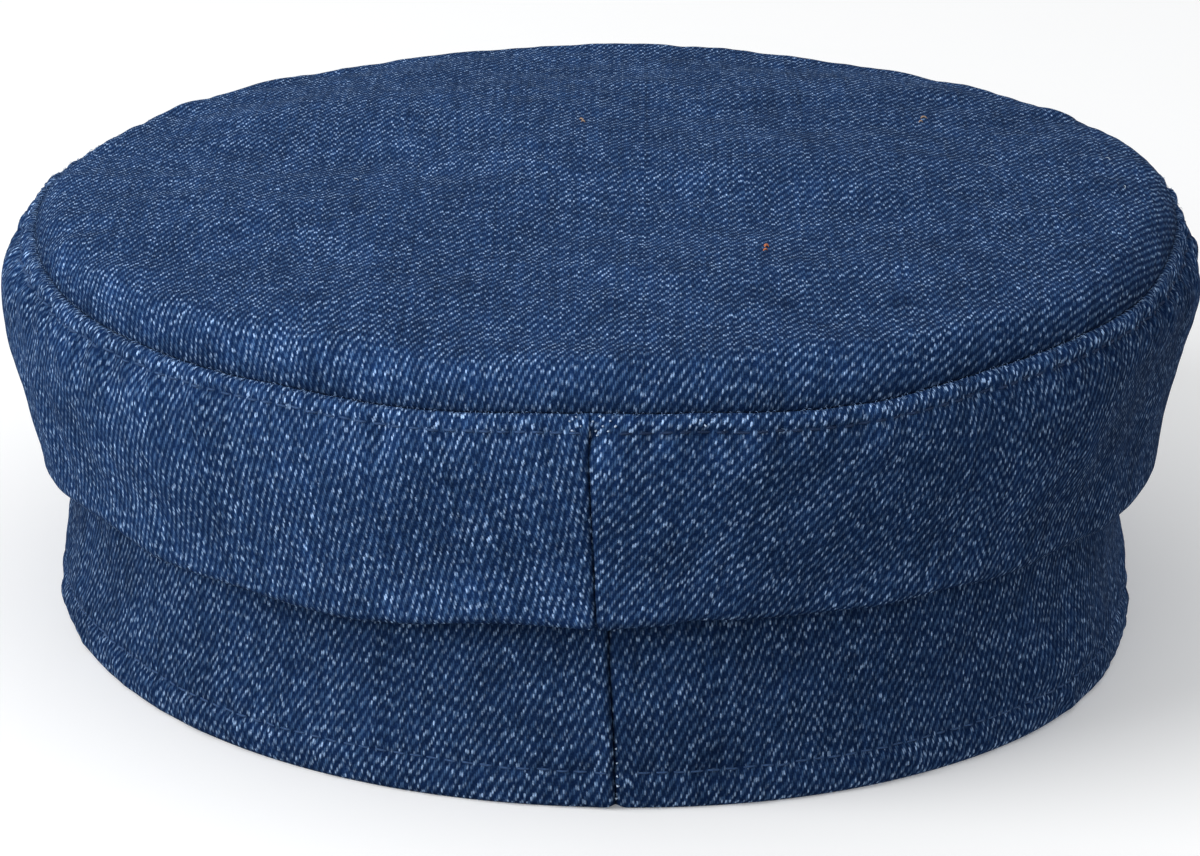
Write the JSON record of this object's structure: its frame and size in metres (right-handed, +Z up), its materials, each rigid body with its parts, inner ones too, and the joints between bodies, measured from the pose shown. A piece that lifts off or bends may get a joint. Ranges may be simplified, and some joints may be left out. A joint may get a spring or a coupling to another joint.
{
  "type": "baker boy cap",
  "caption": "Denim baker boy cap with a flat oval crown top, a deep side wall folded under over an upright head band, and a short front peak.",
  "frame": {"origin": "middle of the bottom of the cap's box, on the surface that the rim rests on", "axes": "+Z up; the peak faces -Y and the centre-back seams lie on +Y; +X is the wearer's left"},
  "size_m": [0.194, 0.2494, 0.0725],
  "materials": {
    "denim_top": "mid-blue denim, right-hand twill, matt",
    "denim_side": "mid-blue denim, right-hand twill, matt",
    "denim_band": "mid-blue denim, right-hand twill, matt",
    "denim_peak": "mid-blue denim, right-hand twill, matt"
  },
  "bodies": {
    "root": {"crown_top": "denim_top", "crown_side_left": "denim_side", "crown_side_right": "denim_side", "head_band": "denim_band", "peak": "denim_peak"}
  },
  "joints": []
}
